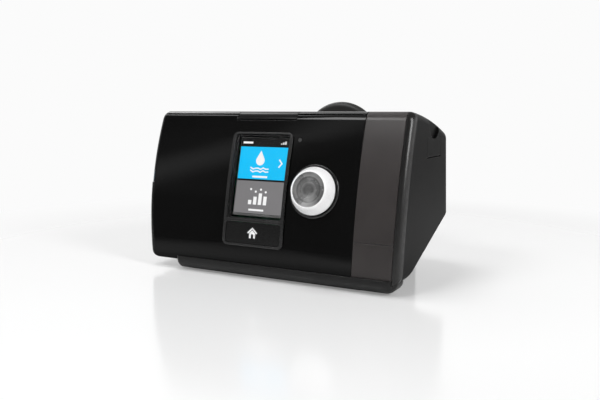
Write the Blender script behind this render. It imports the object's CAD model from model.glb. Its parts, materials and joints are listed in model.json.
import bmesh
import bpy
import json
import math
from mathutils import Matrix, Vector


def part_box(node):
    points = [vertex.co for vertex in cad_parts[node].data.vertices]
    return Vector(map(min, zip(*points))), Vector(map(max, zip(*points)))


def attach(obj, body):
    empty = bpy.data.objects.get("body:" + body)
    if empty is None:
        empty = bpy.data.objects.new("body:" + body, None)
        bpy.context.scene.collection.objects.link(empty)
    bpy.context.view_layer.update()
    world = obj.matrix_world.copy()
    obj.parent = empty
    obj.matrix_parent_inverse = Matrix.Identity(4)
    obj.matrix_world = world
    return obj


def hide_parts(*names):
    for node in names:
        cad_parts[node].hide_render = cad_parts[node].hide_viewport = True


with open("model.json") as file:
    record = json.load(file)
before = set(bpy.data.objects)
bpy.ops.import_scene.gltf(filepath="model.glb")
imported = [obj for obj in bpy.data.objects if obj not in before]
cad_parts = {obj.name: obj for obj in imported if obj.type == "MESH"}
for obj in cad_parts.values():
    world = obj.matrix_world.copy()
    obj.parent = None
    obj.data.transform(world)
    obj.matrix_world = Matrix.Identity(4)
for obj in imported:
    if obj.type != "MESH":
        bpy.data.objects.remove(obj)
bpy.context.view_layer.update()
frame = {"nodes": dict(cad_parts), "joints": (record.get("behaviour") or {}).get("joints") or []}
nodes = frame["nodes"]

# ---- Lower case -------------------------------------------------------------------------
# The base moulding: rear skirt, rising underside and the lip along the front. Injection
# moulded ABS with a fine spark-eroded texture, screwed to the upper case from below. The
# louvred filter cover at the back is of the same plastic.
mm = 0.001
micron = mm / 1000


class Wire:
    """A shader socket that takes part in Python arithmetic."""

    def __init__(self, graph, socket):
        self.graph = graph
        self.socket = socket

    def maths(self, operation, *values):
        return self.graph.node("ShaderNodeMath", {"operation": operation}, values)

    def __add__(self, other):
        return self.maths("ADD", self, other)

    __radd__ = __add__

    def __sub__(self, other):
        return self.maths("SUBTRACT", self, other)

    def __rsub__(self, other):
        return self.maths("SUBTRACT", other, self)

    def __mul__(self, other):
        return self.maths("MULTIPLY", self, other)

    __rmul__ = __mul__

    def __truediv__(self, other):
        return self.maths("DIVIDE", self, other)

    def __neg__(self):
        return self * -1.0

    def least(self, other):
        """The smaller of two values."""
        return self.maths("MINIMUM", self, other)

    def most(self, other):
        """The larger of two values."""
        return self.maths("MAXIMUM", self, other)

    def climb(self, start, end):
        """0 at the start and 1 at the end, with a smooth step between them."""
        settings = {"interpolation_type": "SMOOTHSTEP"}
        values = {"Value": self, "From Min": start, "From Max": end}
        return self.graph.node("ShaderNodeMapRange", settings, values)

    def above(self, edge, soft):
        """0 below the edge and 1 above it, with a soft step."""
        return self.climb(edge - soft, edge + soft)

    def near(self, centre, reach):
        """1 at the centre, falling smoothly to 0 at a distance."""
        return self.maths("ABSOLUTE", self - centre).climb(reach, 0.0)


class Graph:
    """A node tree that is written as expressions."""

    def __init__(self, tree):
        self.tree = tree

    def link(self, value, socket):
        """Links a wire to a socket, or sets the socket to a plain value."""
        if isinstance(value, Wire):
            self.tree.links.new(value.socket, socket)
        else:
            socket.default_value = value

    def node(self, kind, settings=None, values=(), output=0):
        """One output of a new node: its settings are made first, then its sockets."""
        made = self.tree.nodes.new(kind)
        for key, value in (settings or {}).items():
            setattr(made, key, value)
        pairs = values.items() if isinstance(values, dict) else enumerate(values)
        for key, value in pairs:
            self.link(value, made.inputs[key])
        return Wire(self, made.outputs[output])

    def place(self, turn=(0, 0, 0), centre=(0, 0, 0), stretch=(1, 1, 1)):
        """Object coordinates, moved so that centre is the origin, then stretched and turned."""
        point = self.node("ShaderNodeTexCoord", output="Object")
        point = self.node("ShaderNodeVectorMath", {"operation": "SUBTRACT"}, [point, centre])
        values = {"Vector": point, "Rotation": turn, "Scale": stretch}
        return self.node("ShaderNodeMapping", {}, values)

    def parts(self, vector):
        """The X, Y and Z of a vector."""
        return [self.node("ShaderNodeSeparateXYZ", {}, [vector], axis) for axis in range(3)]

    def length(self, vector):
        return self.node("ShaderNodeVectorMath", {"operation": "LENGTH"}, [vector], "Value")

    def noise(self, scale, detail=2.0, vector=None):
        values = {"Vector": vector or self.place(), "Scale": scale, "Detail": detail}
        return self.node("ShaderNodeTexNoise", {}, values)

    def mix(self, factor, first, second):
        """A blend of two colours, through the colour sockets of the Mix node."""
        values = {0: factor, 6: first, 7: second}
        return self.node("ShaderNodeMix", {"data_type": "RGBA"}, values, output=2)


class Finish(Graph):
    """A procedural material for moulded, metal or rubber pieces."""

    def __init__(self, name, **sockets):
        self.material = bpy.data.materials.new(name)
        self.material.use_nodes = True
        super().__init__(self.material.node_tree)
        self.shader = self.tree.nodes["Principled BSDF"]
        self.feed(**sockets)

    def feed(self, **sockets):
        """Sets or links the shader's sockets, which are named with _ for a space."""
        for name, value in sockets.items():
            self.link(value, self.shader.inputs[name.replace("_", " ")])

    def relief(self, height, depth, edge=None):
        """Bump from a height in 0..1 whose full depth is in metres, on rounded edges."""
        values = {"Height": height, "Distance": depth, "Strength": 1.0}
        if edge:
            values["Normal"] = self.node("ShaderNodeBevel", {"samples": 6}, {"Radius": edge})
        self.feed(Normal=self.node("ShaderNodeBump", {}, values))


def tone(grey, warm=0.0):
    """A neutral colour, a little warmer or cooler."""
    return (grey * (1 + warm), grey, grey * (1 - warm), 1)


def scaled(colour, share):
    """A colour that is darker or lighter by a share."""
    return tuple(part * share for part in colour[:3]) + (1,)


def moulded(name, colour, rough, grain, depth, edge, specular=0.5):
    """Moulded plastic: flow mottling, uneven sheen, texture from the tool, soft edges."""
    finish = Finish(name, Specular_IOR_Level=specular)
    cloud = finish.noise(35.0, detail=3.0)
    tool = finish.noise(grain)
    mottle = cloud.above(0.5, 0.25)
    finish.feed(
        Base_Color=finish.mix(mottle, scaled(colour, 0.90), scaled(colour, 1.12)),
        Roughness=rough + 0.10 * (cloud - 0.5) + 0.08 * (tool - 0.5),
    )
    finish.relief(tool, depth, edge)
    return finish


def dress(finish, *names):
    """Gives CAD nodes a finish."""
    for name in names:
        mesh = nodes[name].data
        mesh.materials.clear()
        mesh.materials.append(finish.material)


case_plastic = moulded(
    "case_plastic", tone(0.0065), 0.34, grain=2600.0, depth=20 * micron, edge=0.8 * mm, specular=0.3
)
dress(case_plastic, "lower_case", "filter_cover")

# ---- Feet and screws --------------------------------------------------------------------
# Four pads of soft rubber pressed into round recesses, and blackened screws with hexagon
# sockets that pull the two case halves together.
foot_rubber = moulded(
    "foot_rubber", tone(0.016), 0.75, grain=1500.0, depth=30 * micron, edge=0.4 * mm
)
dress(foot_rubber, "rubber_feet")

blackened = Finish("blackened_steel", Metallic=1.0)
scratch = blackened.noise(900.0, 4.0, blackened.place(stretch=(1, 1, 0.1)))
blackened.feed(
    Base_Color=blackened.mix(scratch, tone(0.03), tone(0.12)), Roughness=0.3 + 0.2 * scratch
)
blackened.relief(scratch, depth=8 * micron, edge=0.1 * mm)
dress(blackened, "case_screws")

# ---- Dock and heater --------------------------------------------------------------------
# A matt liner that the water tub slides into. Its floor carries an aluminium heater plate on
# a felt insulator, pushed up by two leaf springs.
liner_plastic = moulded(
    "liner_plastic", tone(0.045), 0.6, grain=1800.0, depth=30 * micron, edge=0.4 * mm
)
dress(liner_plastic, "dock_liner")


def brushed(name, colour, rough, stretch=(1, 60, 60)):
    """Metal brushed along the direction in which its noise is stretched least."""
    finish = Finish(name, Metallic=1.0)
    hair = finish.noise(60.0, 5.0, finish.place(stretch=stretch))
    stain = finish.noise(60.0)
    finish.feed(
        Base_Color=finish.mix(hair, scaled(colour, 0.8), colour),
        Roughness=rough + 0.15 * (hair - 0.5) + 0.12 * (stain - 0.5),
    )
    finish.relief(hair, depth=10 * micron, edge=0.2 * mm)
    return finish


heater_metal = brushed("heater_aluminium", tone(0.6), 0.35)
dress(heater_metal, "heater_plate", "tub_plate")
spring_steel = brushed("spring_steel", tone(0.62), 0.25)
dress(spring_steel, "heater_springs", "clip_pin", "rotor_shaft")


def felted(name, scale, detail, dark, light, depth):
    """Felt: matt fibres of two tones that stand up a little."""
    finish = Finish(name, Roughness=0.95)
    fibre = finish.noise(scale, detail)
    finish.feed(Base_Color=finish.mix(fibre, dark, light))
    finish.relief(fibre, depth)
    return finish


insulator_felt = felted(
    "insulator_felt", 1400.0, 4.0, tone(0.45, 0.1), tone(0.75, 0.08), depth=150 * micron
)
dress(insulator_felt, "heater_insulator")

# ---- Seals ------------------------------------------------------------------------------
# Silicone sleeves between tub and machine, the tub's gasket and the soft legs under the
# motor. All are cast, translucent grey and slightly dusty.
silicone = Finish("silicone", Subsurface_Weight=0.2)
dust = silicone.noise(220.0, 4.0)
silicone.feed(
    Base_Color=silicone.mix(dust, tone(0.42), tone(0.56)), Roughness=0.35 + 0.25 * dust
)
silicone.relief(dust, depth=20 * micron, edge=0.3 * mm)
dress(silicone, "feed_seal", "return_seal", "tub_seal", "motor_cradle")

# ---- Water tub --------------------------------------------------------------------------
# Gloss black tub whose end cap closes the machine's left end. Its lid is moulded from the
# same plastic, with a smoked band at the outer end through which the water shows blue.


def glossy(name):
    """Gloss moulding with a slight orange peel, and the noise of the smears on it."""
    finish = Finish(name, Specular_IOR_Level=0.19)
    finish.relief(finish.noise(90.0), depth=12 * micron, edge=0.6 * mm)
    return finish, finish.noise(14.0, 4.0)


gloss_black, smear = glossy("gloss_black")
gloss_black.feed(
    Base_Color=gloss_black.mix(smear, tone(0.0018), tone(0.0030)),
    Roughness=0.03 + 0.07 * smear,
)
dress(gloss_black, "tub_base")

band_start = 94.5 * mm  # left of the middle
band_level = 66.0 * mm
band_reach = 6.0 * mm
smoked_blue = (0.045, 0.075, 0.10, 1)
lid, smear = glossy("smoky_lid")
across, _, height = lid.parts(lid.place())
band = (-across).above(band_start, 0.6 * mm) * height.near(band_level, band_reach)
lid.feed(Base_Color=lid.mix(band, tone(0.003), smoked_blue), Roughness=0.04 + 0.08 * smear)
dress(lid, "tub_lid")

smoke = Finish("smoky_plastic", Roughness=0.12, Alpha=0.75)
haze = smoke.noise(40.0, 3.0)
smoke.feed(Base_Color=smoke.mix(haze, tone(0.02), tone(0.05)))
dress(smoke, "air_baffle")

# ---- Blower -----------------------------------------------------------------------------
# White scroll in two halves with a moulded impeller, and a steel motor can that stands on
# soft legs. Open cell foam below it takes up its hum.
blower_white = moulded(
    "blower_white", tone(0.6, 0.02), 0.45, grain=1600.0, depth=20 * micron, edge=0.4 * mm
)
dress(blower_white, "scroll_base", "scroll_cover", "impeller")
motor_metal = brushed("motor_can_steel", tone(0.5), 0.3, stretch=(60, 60, 1))
dress(motor_metal, "motor_can")
rotor_iron = brushed("rotor_iron", tone(0.14), 0.5, stretch=(1, 1, 90))
dress(rotor_iron, "rotor")

foam = Finish("open_cell_foam", Roughness=1.0)
cell = foam.node("ShaderNodeTexVoronoi", {}, {"Vector": foam.place(), "Scale": 1100.0})
foam.feed(Base_Color=foam.mix(cell, tone(0.012), tone(0.06)))
foam.relief(cell, depth=500 * micron)
dress(foam, "silencer_foam")

# ---- Boards -----------------------------------------------------------------------------
# Fibreglass boards under green solder mask with copper tracks. They carry tinned cans and
# shafts, sleeved capacitors and black switches, and one holds the display in its carrier.
board = Finish("circuit_board")
grid = board.node(
    "ShaderNodeTexBrick",
    {"offset": 0.5, "squash": 1.0},
    {
        "Vector": board.place(),
        "Color1": tone(0.0),
        "Color2": tone(0.0),
        "Mortar": tone(1.0),
        "Mortar Size": 0.035,
        "Scale": 160.0,
    },
)
track = board.noise(240.0, 1.0).above(0.56, 0.02) * 0.6 + 0.4 * grid
board.feed(
    Base_Color=board.mix(track, (0.008, 0.07, 0.03, 1), (0.03, 0.17, 0.08, 1)),
    Roughness=0.45 - 0.15 * track,
)
board.relief(track, depth=30 * micron)
dress(board, "main_board", "interface_board")

tinned = brushed("tinned_steel", tone(0.6), 0.3)
dress(tinned, "radio_module", "card_socket", "encoder_body", "dial_shaft")
sleeve = moulded(
    "capacitor_sleeve", (0.01, 0.016, 0.05, 1), 0.3, grain=900.0, depth=10 * micron, edge=0.3 * mm
)
dress(sleeve, "storage_capacitors")
small_parts = {"grain": 1500.0, "depth": 10 * micron, "edge": 0.2 * mm}
switch_plastic = moulded("switch_plastic", tone(0.02), 0.4, **small_parts)
dress(switch_plastic, "home_switch", "start_switch", "buzzer", "encoder_plunger", "flow_sensor")
card_plastic = moulded("card_plastic", (0.012, 0.014, 0.03, 1), 0.4, **small_parts)
dress(card_plastic, "memory_card")
carrier_plastic = moulded("carrier_plastic", tone(0.4), 0.5, **small_parts)
dress(carrier_plastic, "display_carrier")

# ---- Air path and inlets ----------------------------------------------------------------
# The outlet port with its plenum, the power socket with its clip, and the filter tray, all
# moulded in dark grey. The filter is a pad of white felt that lies loose in the tray.
port_plastic = moulded(
    "port_plastic", tone(0.05), 0.4, grain=1800.0, depth=20 * micron, edge=0.5 * mm
)
dress(port_plastic, "outlet_port")
inlet_plastic = moulded(
    "inlet_plastic", tone(0.014), 0.5, grain=1800.0, depth=20 * micron, edge=0.4 * mm
)
dress(inlet_plastic, "power_socket", "retention_clip", "filter_tray")

filter_felt = felted("filter_felt", 900.0, 5.0, tone(0.6), tone(0.85), depth=200 * micron)
dress(filter_felt, "air_filter")

# ---- Upper case and outlet surround -----------------------------------------------------
# The top cover is a smooth satin moulding that the case screws hold down. The drum round the
# air outlet is let into its rear, a separate moulding in a lighter matt grey.
cover_plastic = moulded(
    "cover_plastic", tone(0.010), 0.22, grain=2600.0, depth=6 * micron, edge=0.8 * mm, specular=0.3
)
dress(cover_plastic, "upper_case")
drum_grey = tone(0.034, 0.02)
drum_plastic = moulded(
    "drum_plastic", drum_grey, 0.42, grain=2600.0, depth=20 * micron, edge=0.8 * mm, specular=0.4
)
dress(drum_plastic, "outlet_surround")

# ---- Side cover and card door -----------------------------------------------------------
# The right end of the case, a matt moulding with a fine texture. The rounded bead along its
# front is buffed, so it shines more than the flat.
face_curve = Vector((0, 325.481 * mm, -25.071 * mm))  # the axis that the face bends round
bead_reach = 394.5 * mm  # the bead lies farther from that axis than this
side = Finish("side_plastic", Specular_IOR_Level=0.03, Coat_Roughness=0.26)
grain = side.noise(2600.0)
from_axis = side.place(centre=face_curve, stretch=(0, 1, 1))
bead = side.length(from_axis).above(bead_reach, 2.0 * mm)
side.feed(
    Base_Color=side.mix(bead, tone(0.006, 0.02), tone(0.011, 0.03)),
    Roughness=0.34 + 0.1 * grain,
    Coat_Weight=bead,
)
side.relief(grain, depth=20 * micron, edge=0.8 * mm)
dress(side, "side_cover", "card_door")

# ---- Fascia and front trims -------------------------------------------------------------
# The fascia is moulded in the gloss black of the tub and covers the face and its crest. Right
# of it runs a matt strip of warm grey, in two pieces that lie flush with it.
dress(gloss_black, "front_fascia")
warm_grey = (0.0325, 0.0283, 0.0276, 1)
trim_plastic = moulded(
    "trim_plastic", warm_grey, 0.34, grain=2600.0, depth=20 * micron, edge=0.6 * mm, specular=0.4
)
dress(trim_plastic, "front_trim_upper", "front_trim_lower")

# ---- Buttons and bezel ------------------------------------------------------------------
# A satin frame is let into the fascia round the screen and the home button, and a ring round
# the dial. The two buttons are darker mouldings, the start/stop button a piece of the crest.
bezel_grey = tone(0.0125)
bezel_plastic = moulded(
    "bezel_plastic", bezel_grey, 0.26, grain=2200.0, depth=10 * micron, edge=0.8 * mm, specular=0.6
)
dress(bezel_plastic, "screen_bezel", "dial_ring")
key_plastic = moulded(
    "key_plastic", tone(0.0065), 0.26, grain=2200.0, depth=10 * micron, edge=0.5 * mm, specular=0.3
)
dress(key_plastic, "home_button")
start_plastic = moulded(
    "start_plastic", tone(0.007), 0.20, grain=2200.0, depth=6 * micron, edge=0.5 * mm, specular=0.15
)
dress(start_plastic, "start_stop_button")

# ---- Dial -------------------------------------------------------------------------------
# White moulded skirt with a turned metal face, slightly hollow, pressed into its top. The
# lathe tool left fine grooves round the centre, and the metal is a little stained.
joint = next(joint for joint in frame["joints"] if joint["name"] == "dial_turn")
dial_centre = Vector(joint["pos_m"])
panel_normal = Vector(joint["axis"])
skirt = moulded("dial_white", tone(0.90), 0.28, grain=1600.0, depth=6 * micron, edge=0.5 * mm)
dress(skirt, "dial")

spun = Finish("spun_face", Metallic=0.7)
face_tilt = math.acos(panel_normal.z)
on_face = spun.place(turn=(-face_tilt, 0, 0), centre=dial_centre)
_, along, _ = spun.parts(on_face)
# Rings round the centre, which drift a little from the foot of the face to its head.
rings_per_metre = 900.0
drift = 3.2
ring_spot = [spun.length(on_face) * rings_per_metre, along * drift]
streak = spun.noise(1.0, 3.0, spun.node("ShaderNodeCombineXYZ", {}, ring_spot))
stain = spun.noise(100.0, 3.0)
shade = (streak * 0.6 + stain * 0.4).above(0.5, 0.16)
spun.feed(Base_Color=spun.mix(shade, tone(0.12), tone(0.44)), Roughness=0.20 + 0.16 * stain)


def keep(name, bm, finish, body, place):
    """Turns a bmesh into a piece that is put in its place and rides on a body."""
    bmesh.ops.transform(bm, matrix=place, verts=bm.verts)
    bmesh.ops.recalc_face_normals(bm, faces=bm.faces)
    mesh = bpy.data.meshes.new(name)
    bm.to_mesh(mesh)
    bm.free()
    mesh.materials.append(finish.material)
    piece = bpy.data.objects.new(name, mesh)
    bpy.context.scene.collection.objects.link(piece)
    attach(piece, body)
    return piece


def upright(spot, normal):
    """Matrix of a plane on the front: X to the right, Y up the face, Z out of it."""
    right = Vector((1, 0, 0))
    turn = Matrix((right, normal.cross(right), normal)).transposed()
    return Matrix.Translation(spot) @ turn.to_4x4()


def turned(bm, profile, steps):
    """Spins a profile of radius and height round Z into a closed solid."""
    line = [bm.verts.new((radius, 0, height)) for radius, height in profile]
    edges = [bm.edges.new(pair) for pair in zip(line, line[1:])]
    bmesh.ops.spin(
        bm,
        geom=line + edges,
        axis=(0, 0, 1),
        cent=(0, 0, 0),
        angle=2 * math.pi,
        steps=steps,
        use_merge=True,
    )
    bmesh.ops.remove_doubles(bm, verts=bm.verts, dist=1e-7)


face_radius = 11.55 * mm
face_foot = 7.7 * mm
face_rim = 8.65 * mm
face_dish = 0.6 * mm
groove_pitch = 0.35 * mm
groove_depth = 0.022 * mm
groove_count = int(face_radius / groove_pitch)
face_profile = [(0, face_rim - face_dish)]
for index in range(1, 2 * groove_count):
    radius = index * groove_pitch / 2
    dished = face_rim - face_dish * (1 - (radius / face_radius) ** 2)
    face_profile.append((radius, dished - groove_depth * (index % 2)))
face_profile += [(face_radius, face_rim), (face_radius, face_foot), (0, face_foot)]
face = bmesh.new()
turned(face, face_profile, steps=96)
dial_place = upright(dial_centre, panel_normal)
dial_face = keep("dial_face", face, spun, "dial_knob", dial_place)
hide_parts("dial_cap")

# ---- Screen -----------------------------------------------------------------------------
# Clear acrylic window over a backlit colour panel, which shows two lit tiles with a small
# drawing on each. A smoked lens in the front covers the light sensor.
clear = Finish(
    "clear_acrylic", Base_Color=tone(0.0), Roughness=0.06, Alpha=0.08, Specular_IOR_Level=0.12
)
dress(clear, "screen_window")
lens = Finish("sensor_lens", Roughness=0.1)
lens.feed(Base_Color=lens.mix(lens.noise(400.0), tone(0.04), tone(0.08)))
dress(lens, "light_sensor_window")
panel_black = moulded(
    "panel_black", tone(0.004), 0.3, grain=1500.0, depth=5 * micron, edge=0.2 * mm
)
dress(panel_black, "display_panel")

layer = 0.06 * mm  # thickness of a lit field, and of a print
panel_proud = 1.1 * mm  # the fields lie this far out from the panel's middle
low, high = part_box("display_panel")
screen_place = upright((low + high) / 2 + panel_normal * panel_proud, panel_normal)


def lit(name, colour, strength):
    """A lit field of the panel, with a backlight that is a little uneven."""
    finish = Finish(name, Base_Color=tone(0.0), Roughness=0.5, Emission_Strength=strength)
    glow = finish.noise(60.0, 1.0)
    finish.feed(Emission_Color=finish.mix(glow, scaled(colour, 0.93), colour))
    return finish


def flat(bm, points, base):
    """A plate one layer thick over an outline in millimetres, from a base height up."""
    face = bm.faces.new([bm.verts.new((x * mm, y * mm, base)) for x, y in points])
    grown = bmesh.ops.extrude_face_region(bm, geom=[face])
    moved = [v for v in grown["geom"] if isinstance(v, bmesh.types.BMVert)]
    bmesh.ops.translate(bm, verts=moved, vec=(0, 0, layer))


def rectangle(left, right, foot, head):
    return [(left, foot), (right, foot), (right, head), (left, head)]


def arc(x, y, radius, start, end, count):
    """Points along an arc, in degrees."""
    turns = [math.radians(start + (end - start) * i / count) for i in range(count + 1)]
    return [(x + radius * math.cos(turn), y + radius * math.sin(turn)) for turn in turns]


def stroke(bm, points, width, base):
    """A line of even width over a few points, with its ends drawn out by half of that."""
    for first, second in zip(points, points[1:]):
        start, end = Vector(first), Vector(second)
        onward = (end - start).normalized() * width / 2
        aside = Vector((-onward.y, onward.x))
        start, end = start - onward, end + onward
        flat(bm, [start - aside, end - aside, end + aside, start + aside], base)


blue_light = lit("screen_blue", (0.0, 0.56, 1.0, 1), 1.15)
grey_light = lit("screen_grey", (0.205, 0.20, 0.205, 1), 1.15)
white_light = lit("screen_white", (1.0, 1.0, 1.0, 1), 1.1)
tile_reach = 19.0
tiles = (("tile_blue", blue_light, -2.3, 20.4), ("tile_grey", grey_light, -26.3, -3.6))
for name, light, foot, head in tiles:
    tile = bmesh.new()
    flat(tile, rectangle(-tile_reach, tile_reach, foot, head), 0)
    keep(name, tile, light, "machine", screen_place)

# The drawings are in millimetres from the middle of the panel. On the upper tile stands a drop
# over two ripples, with a pointer at its right.
marks = bmesh.new()
flat(marks, arc(-2.0, 10.8, 3.4, 150, 390, 16) + [(-2.0, 17.8)], layer)
for ripple in (5.2, 3.2):
    wave = [(x, ripple + 0.6 * math.sin(x * 1.2)) for x in range(-9, 6, 2)]
    stroke(marks, wave, 0.8, layer)
stroke(marks, [(13.4, 11.6), (15.4, 9.2), (13.4, 6.8)], 0.9, layer)
# Four bars on the lower tile, each with a dot over it.
bar_width = 2.6
bar_foot = -20.0
for index, rise in enumerate((3.0, 5.5, 8.0, 6.0)):
    left = -8.0 + 4.0 * index
    dot_height = -9.4 - 1.6 * (index % 2)
    flat(marks, rectangle(left, left + bar_width, bar_foot, bar_foot + rise), layer)
    flat(marks, arc(left + bar_width / 2, dot_height, 0.8, 0, 330, 11), layer)
# A plain bar under each picture, another at the left of the top line and three signal steps.
for foot in (-1.2, -24.4):
    flat(marks, rectangle(-7.0, 5.0, foot, foot + 1.3), layer)
flat(marks, rectangle(-17.5, -9.5, 22.6, 24.0), layer)
for index in range(3):
    left = 13.0 + 1.6 * index
    flat(marks, rectangle(left, left + 1.0, 22.4, 23.2 + 0.7 * index), layer)
keep("screen_marks", marks, white_light, "machine", screen_place)

# ---- Home sign --------------------------------------------------------------------------
# A small house with an open door, printed in white ink on the home button. It lies square to
# the bend of the face.
ink = Finish("white_ink", Roughness=0.45)
ink.feed(Base_Color=ink.mix(ink.noise(500.0), tone(0.82), tone(0.92)))
house = bmesh.new()
stroke(house, [(-3.3, 0.5), (0, 3.6), (3.3, 0.5)], 1.0, 0)
walls = [(-2.4, -3.2), (-0.9, -3.2), (-0.9, -1.2)] + arc(0, -1.2, 0.9, 170, 10, 8)
walls += [(0.9, -1.2), (0.9, -3.2), (2.4, -3.2), (2.4, 0.2), (0, 2.3), (-2.4, 0.2)]
flat(house, walls, 0)
face_spot = Vector((-5.9 * mm, -70.583 * mm, 30.8 * mm))  # where the face runs behind it
home_normal = (face_spot - face_curve) * Vector((0, 1, 1))
home_normal.normalize()
home_proud = 0.9 * mm
home_place = upright(face_spot + home_normal * home_proud, home_normal)
keep("home_sign", house, ink, "home_key", home_place)

# ---- Studio -----------------------------------------------------------------------------
# A pale floor with a soft mirror image, in a pale room that is dimmer on the camera's side.
# The fascia mirrors a tilted box of light at its left, and five lamps stand round the machine.
pale = 0.965
floor_reach = 6.0
floor_drop = 0.2 * mm  # keeps it clear of the feet
floor_bm = bmesh.new()
bmesh.ops.create_grid(floor_bm, x_segments=1, y_segments=1, size=floor_reach)
floor_mesh = bpy.data.meshes.new("floor")
floor_bm.to_mesh(floor_mesh)
floor_bm.free()
floor = bpy.data.objects.new("floor", floor_mesh)
floor.location = (0, 0, -floor_drop)
bpy.context.scene.collection.objects.link(floor)

# Away from the machine the floor loses its mirror image, and the camera sees its plain tone.
mirror_reach = 0.31
near_veil = 0.22
floor_finish = Finish("floor_white", Base_Color=tone(0.96), Specular_IOR_Level=0.80)
away = floor_finish.length(floor_finish.node("ShaderNodeTexCoord", output="Object"))
floor_finish.feed(Roughness=0.14 + 0.4 * away.above(mirror_reach, 0.10))
seen = floor_finish.node("ShaderNodeLightPath", output="Is Camera Ray")
veil = seen * (near_veil + (1 - near_veil) * away.above(mirror_reach, 0.12))
lit_floor = Wire(floor_finish, floor_finish.shader.outputs["BSDF"])
glow = floor_finish.node("ShaderNodeEmission", {}, {"Color": tone(pale)})
shown = floor_finish.node("ShaderNodeMixShader", {}, [veil, lit_floor, glow])
floor_finish.link(shown, floor_finish.tree.nodes["Material Output"].inputs["Surface"])
floor_mesh.materials.append(floor_finish.material)

world = bpy.data.worlds.new("studio")
world.use_nodes = True
world.node_tree.nodes.remove(world.node_tree.nodes["Background"])
bpy.context.scene.world = world
studio = Graph(world.node_tree)
across, along, up = studio.parts(studio.node("ShaderNodeTexCoord", output="Generated"))
overhead = up.above(0.80, 0.15)
rear_right = up.above(0.40, 0.12) * across.above(-0.34, 0.06)
behind = along.above(0.0, 0.35) * (1.0 - 0.9 * rear_right)

# The tilted box, on a plane in front of the machine: its lower edge is level at the left,
# climbs steeply and then follows the slant, as the upper edge does. It is brightest between.
ahead = (-along).most(0.08)
beside = across / ahead
height = up / ahead


def sloped(spot, slope):
    """Height of a line that passes a spot at a slope."""
    return spot[1] + slope * (beside - spot[0])


slant = sloped((-0.587, 0.504), 1.087)
foot_level = 0.257
steep = sloped((-0.70, foot_level), 2.8)
lower_edge = slant.least(steep).most(foot_level)
box_height = 0.55
in_box = (height - lower_edge).above(0.0, 0.03) * (1.0 - (height - slant).above(box_height, 0.15))
core = (height - slant).near(0.4 * box_height, 0.17)
left_box = in_box * (0.08 + 0.66 * core) * (1.0 - behind) * (1.0 - overhead)

front_light = 0.17
rear_light = 0.78
ceiling_light = 0.2
level = front_light + rear_light * behind * (1.0 - overhead) + ceiling_light * overhead + left_box
level = level * (1.0 - 0.8 * rear_right)
room = studio.node("ShaderNodeBackground", {}, {"Color": tone(1.0), "Strength": level})
backdrop = studio.node("ShaderNodeBackground", {}, {"Color": tone(pale)})
direct = studio.node("ShaderNodeLightPath", output="Is Camera Ray")
through = studio.node("ShaderNodeLightPath", output="Is Transmission Ray")
mirrored = studio.node("ShaderNodeLightPath", output="Is Glossy Ray")
plain_view = direct.most(through).most(mirrored * behind)
sky = studio.node("ShaderNodeMixShader", {}, [plain_view, room, backdrop])
studio.link(sky, world.node_tree.nodes["World Output"].inputs["Surface"])


def soft_box(name, place, aim, size, power, mirrored=True, lights=True):
    """A rectangular lamp that points at a spot, seen in mirrors, lighting matt faces or both."""
    data = bpy.data.lights.new(name, "AREA")
    data.shape = "RECTANGLE"
    data.size, data.size_y = size
    data.energy = power
    lamp = bpy.data.objects.new(name, data)
    lamp.location = place
    lamp.rotation_euler = (Vector(aim) - Vector(place)).to_track_quat("-Z", "Y").to_euler()
    lamp.visible_camera = False
    lamp.visible_glossy = mirrored
    lamp.visible_diffuse = lights
    bpy.context.scene.collection.objects.link(lamp)


middle = (0, 0, 0.05)
soft_box("top_box", (-0.20, 0, 1.10), middle, (0.35, 0.35), power=4.2, mirrored=False)
soft_box("right_box", (0.95, -0.28, 0.62), middle, (0.30, 0.60), power=6.0)
soft_box("key_box", (-0.35, -0.78, 1.00), middle, (0.42, 0.34), power=5.0)
# The next one only puts a sheen on the crest. The last lifts the front from low down, and is
# aimed up so that it spares the floor.
soft_box("crest_box", (-0.62, 0.32, 0.85), (0, 0, 0.11), (0.26, 0.45), power=1.7, lights=False)
soft_box("bounce_box", (0.12, -0.60, 0.05), (0.12, 0, 0.5), (0.6, 0.08), power=0.9, mirrored=False)

# ---- Camera -----------------------------------------------------------------------------
# It stands in front of the machine, to the right and level with its top, and looks slightly
# down.
sensor_width = 36.0
picture_width = 600
focal_length = 682.27  # in pixels
stand = (0.24063, -0.46106, 0.11536)
yaw = math.radians(28.251)
pitch = math.radians(7.576)
camera_data = bpy.data.cameras.new("camera")
camera_data.sensor_width = sensor_width
camera_data.lens = focal_length / picture_width * sensor_width
camera_data.clip_start = 0.01
camera = bpy.data.objects.new("camera", camera_data)
camera.location = stand
camera.rotation_euler = (math.pi / 2 - pitch, 0, yaw)
bpy.context.scene.collection.objects.link(camera)
bpy.context.scene.camera = camera
bpy.context.scene.view_settings.view_transform = "Standard"
